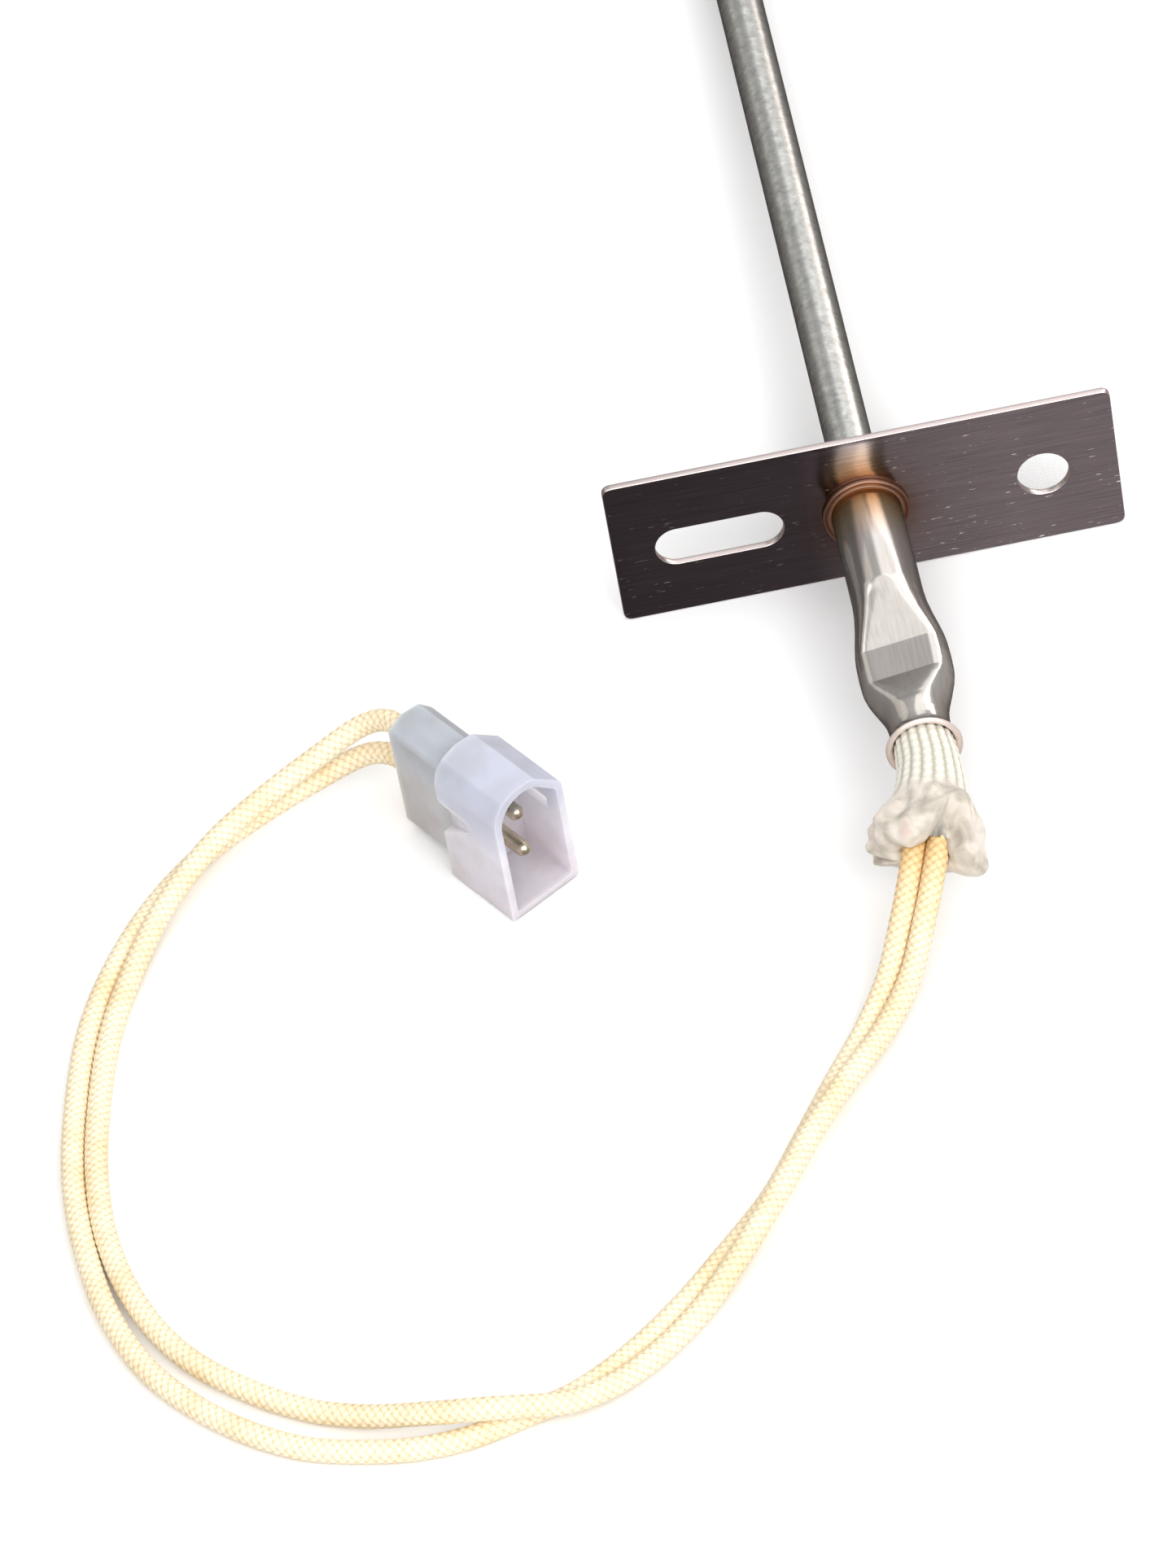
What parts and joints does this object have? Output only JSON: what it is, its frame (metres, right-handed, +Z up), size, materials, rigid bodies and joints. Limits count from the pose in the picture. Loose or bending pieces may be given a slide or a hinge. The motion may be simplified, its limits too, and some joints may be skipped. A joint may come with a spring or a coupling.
{
  "type": "oven temperature probe",
  "caption": "Thin stainless temperature probe on a flat flange with a screw hole and a slot, a crimped ferrule, braided leads and a milky plug.",
  "frame": {"origin": "on the surface the probe lies on, under the middle of the probe from the tip of its tube to the end of its glass sleeve, on the tube's centre line", "axes": "+Y along the probe towards its tip, +X along the flange from the slot to the round hole, +Z up; the tube falls about 2 degrees to its tip"},
  "size_m": [0.1138, 0.2558, 0.0175],
  "materials": {
    "mottled_steel": "drawn and pickled stainless tube, mottled grey",
    "polished_steel": "bright rolled stainless sheet and tube with fine grain",
    "braze": "dull copper-coloured braze with heat tint",
    "nickel": "plain nickel wire and crimps",
    "contact_plate": "tin-plated brass contact, slightly warm",
    "alumina": "fired white alumina",
    "sensor_glass": "fused glass drop",
    "cement": "dry ceramic cement",
    "glass_braid": "untreated braided glass sleeving",
    "conductor_wrap": "thin glass wrap on the conductor",
    "lead_braid": "varnished glass braid, cream to amber",
    "nylon": "moulded natural nylon, milky"
  },
  "bodies": {
    "root": {"probe_tube": "mottled_steel", "mounting_flange": "polished_steel", "braze_ring": "braze", "crimp_ferrule": "polished_steel", "element_chip": "alumina", "element_glass_drop": "sensor_glass", "tip_cement_pad": "cement", "element_leg_a": "nickel", "element_leg_b": "nickel", "leg_crimp_a": "nickel", "leg_crimp_b": "nickel", "extension_wire_a": "nickel", "extension_wire_b": "nickel", "bore_insulator_1": "alumina", "bore_insulator_2": "alumina", "bore_insulator_3": "alumina", "bore_insulator_4": "alumina", "bore_insulator_5": "alumina", "bore_insulator_6": "alumina", "tail_seal": "cement", "splice_barrel_a": "nickel", "splice_barrel_b": "nickel", "splice_cover_a": "glass_braid", "splice_cover_b": "glass_braid", "inner_conductor_a": "conductor_wrap", "inner_conductor_b": "conductor_wrap", "glass_sleeve": "glass_braid", "lead_a": "lead_braid", "lead_b": "lead_braid", "plug_housing": "nylon", "contact_pin_a": "contact_plate", "contact_pin_b": "contact_plate", "stripped_strands_a": "nickel", "stripped_strands_b": "nickel"}
  },
  "joints": []
}
